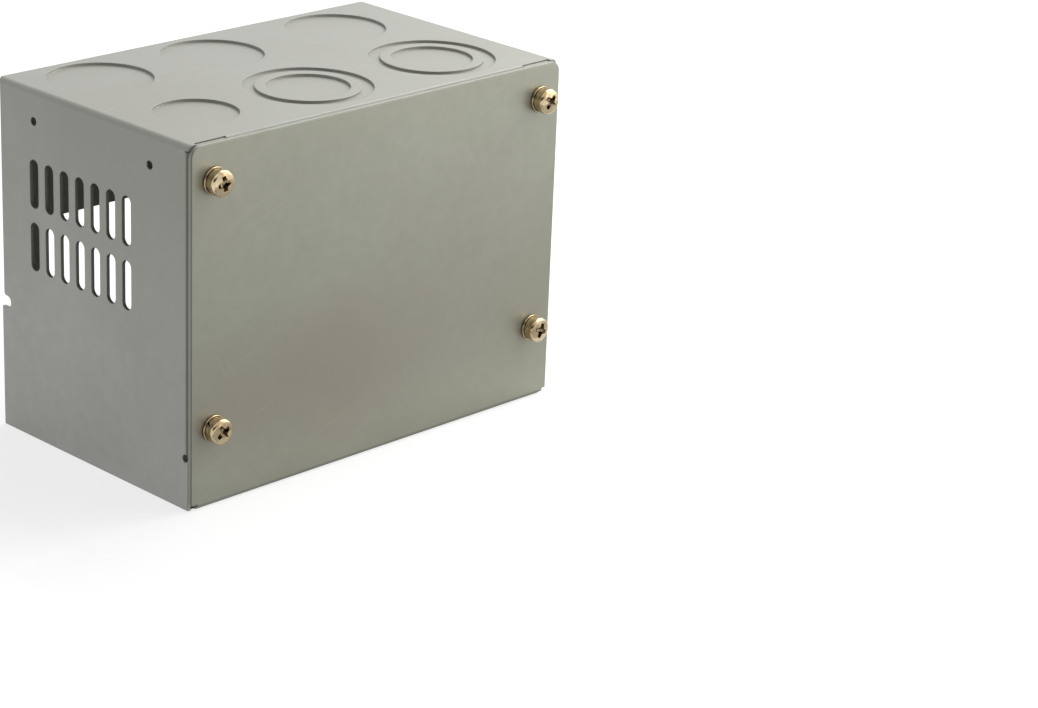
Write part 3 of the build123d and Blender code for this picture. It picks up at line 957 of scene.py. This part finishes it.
def make_room(seen_level, light_level):
    """A white world whose light on matt surfaces is lower."""
    world = bpy.data.worlds.new("white_room")
    world.use_nodes = True
    tree = world.node_tree
    level = blend(tree, white_where_seen(tree), light_level, seen_level)
    background = tree.nodes["Background"]
    give_inputs(tree, background, {"Color": (1.0, 1.0, 1.0, 1.0), "Strength": level})
    bpy.context.scene.world = world
    print("room: seen at", seen_level, "and lighting at", light_level)


make_room(seen_level=1.0, light_level=0.32)

# %% [markdown]
# The table is a wide round top that the camera and the metal see as white too, by a glow that lights
# nothing else. Under the box it has no glow, so the inside stays as dark as that of a box on a table.

# %% Table
def make_table(radius, tone, glow):
    """A round table top under the box that glows to the eye, save inside the box's footprint."""
    form = bmesh.new()
    bmesh.ops.create_circle(form, cap_ends=True, segments=96, radius=radius)
    material, tree, shader = new_material("white_table")
    side_inset = 1 * mm
    cover_inset = 1.8 * mm
    rear_inset = 2 * mm
    place = add(tree, "SeparateXYZ", {0: add(tree, "TexCoord").outputs["Object"]}).outputs
    from_middle = calculate(tree, "ABSOLUTE", place["X"])
    between_sides = calculate(tree, "LESS_THAN", from_middle, box_high.x - side_inset)
    behind_cover = calculate(tree, "GREATER_THAN", place["Y"], cover_low.y + cover_inset)
    before_rear = calculate(tree, "LESS_THAN", place["Y"], box_high.y - rear_inset)
    front_to_rear = calculate(tree, "MULTIPLY", behind_cover, before_rear)
    under = calculate(tree, "MULTIPLY", between_sides, front_to_rear)
    shown = calculate(tree, "MULTIPLY", white_where_seen(tree), calculate(tree, "SUBTRACT", 1.0, under))
    strength = calculate(tree, "MULTIPLY", shown, glow)
    shader.inputs["Base Color"].default_value = (tone, tone, tone, 1.0)
    shader.inputs["Roughness"].default_value = 0.9
    shader.inputs["Emission Color"].default_value = (1.0, 1.0, 1.0, 1.0)
    give_inputs(tree, shader, {"Emission Strength": strength})
    table = place_piece("table", mesh_from("table", form), material)
    print("table: radius", radius, "m, tone", tone)


make_table(radius=3.0, tone=0.35, glow=0.72)

# %% [markdown]
# One broad soft lamp stands high to the right and lights the top, and a near one lights the front from its
# upper right, so the cover fades towards its lower left. Both are large for their distance, which keeps the
# shadows soft.

# %% Lamps
def soft_lamp(name, azimuth, height, distance, size, power):
    """A square lamp at an azimuth from +X and a height in degrees, turned to the middle of the box."""
    around = math.radians(azimuth)
    up = math.radians(height)
    way = Vector((math.cos(around) * math.cos(up), math.sin(around) * math.cos(up), math.sin(up)))
    light = bpy.data.lights.new(name, "AREA")
    light.shape = "SQUARE"
    light.size = size
    light.energy = power
    lamp = bpy.data.objects.new(name, light)
    lamp.location = box_middle + distance * way
    lamp.rotation_euler = way.to_track_quat("Z", "Y").to_euler()
    bpy.context.scene.collection.objects.link(lamp)
    print("lamp", name, "at", [round(v, 2) for v in lamp.location])


soft_lamp("key_right", azimuth=5.0, height=50.0, distance=1.0, size=0.9, power=9.6)
soft_lamp("fill_front", azimuth=-33.0, height=32.0, distance=0.42, size=0.5, power=0.87)

# %% [markdown]
# In a white room metal looks like metal only if it has something dark to mirror. A dark curved screen on
# the camera's side and two grey cards on the table give that to the bends and the screws. The near card is
# paler, so the cover's foot stays light. Only the metal sees them.

# %% Screen and cards
def mirrored_only(name, form, tone):
    """A matt piece of the studio that only mirroring metal sees."""
    material, _, shader = new_material(name + "_cloth")
    shader.inputs["Base Color"].default_value = (tone, tone, tone, 1.0)
    shader.inputs["Roughness"].default_value = 1.0
    piece = place_piece(name, mesh_from(name, form), material)
    piece.visible_camera = False
    piece.visible_shadow = False
    piece.visible_diffuse = False
    print("placed", name)


def dark_screen(radius, start, end, low, high, tone):
    """A curved upright screen between two azimuths in degrees."""
    form = bmesh.new()
    steps = 32
    lower = []
    upper = []
    for i in range(steps + 1):
        angle = math.radians(start + (end - start) * i / steps)
        x = radius * math.cos(angle)
        y = radius * math.sin(angle)
        lower.append(form.verts.new((x, y, low)))
        upper.append(form.verts.new((x, y, high)))
    for i in range(steps):
        form.faces.new((lower[i], lower[i + 1], upper[i + 1], upper[i]))
    mirrored_only("dark_screen", form, tone)


def table_card(name, left, right, front, rear, tone):
    """A card that lies on the table in front of the cover."""
    form = bmesh.new()
    lift = 0.1 * mm
    corners = ((left, front), (right, front), (right, rear), (left, rear))
    form.faces.new([form.verts.new((x, y, lift)) for x, y in corners])
    mirrored_only(name, form, tone)


dark_screen(radius=1.6, start=175.0, end=262.0, low=0.35, high=1.3, tone=0.12)
table_card("far_card", left=-0.12, right=0.35, front=-0.27, rear=-0.065, tone=0.45)
table_card("near_card", left=-0.12, right=0.35, front=-0.065, rear=-0.0376, tone=0.78)

# %% [markdown]
# The camera stands where the photograph was taken from: a little above the box, off its front left corner
# and far enough for a calm perspective. Its place is a turn round the box, a height and a distance.

# %% Camera
def make_camera(turn, height, roll, distance, centre, lens):
    """Place the camera by angles in degrees round a point that sits in the middle of the picture."""
    around = math.radians(turn)
    up = math.radians(height)
    away = Vector((-math.sin(around) * math.cos(up), -math.cos(around) * math.cos(up), math.sin(up)))
    data = bpy.data.cameras.new("camera")
    data.lens = lens
    data.sensor_width = 36.0
    data.clip_start = 0.01
    camera = bpy.data.objects.new("camera", data)
    aim = away.to_track_quat("Z", "Y").to_matrix().to_4x4()
    lean = Matrix.Rotation(math.radians(roll), 4, "Z")
    camera.matrix_world = Matrix.Translation(centre + distance * away) @ aim @ lean
    bpy.context.scene.collection.objects.link(camera)
    bpy.context.scene.camera = camera
    print("camera at", [round(v, 4) for v in camera.matrix_world.translation])


picture_middle = Vector((0.0426, -0.0476, 0.01995))
make_camera(turn=46.266, height=21.024, roll=2.421, distance=0.84, centre=picture_middle, lens=106.74)
bpy.context.scene.view_settings.view_transform = "Standard"
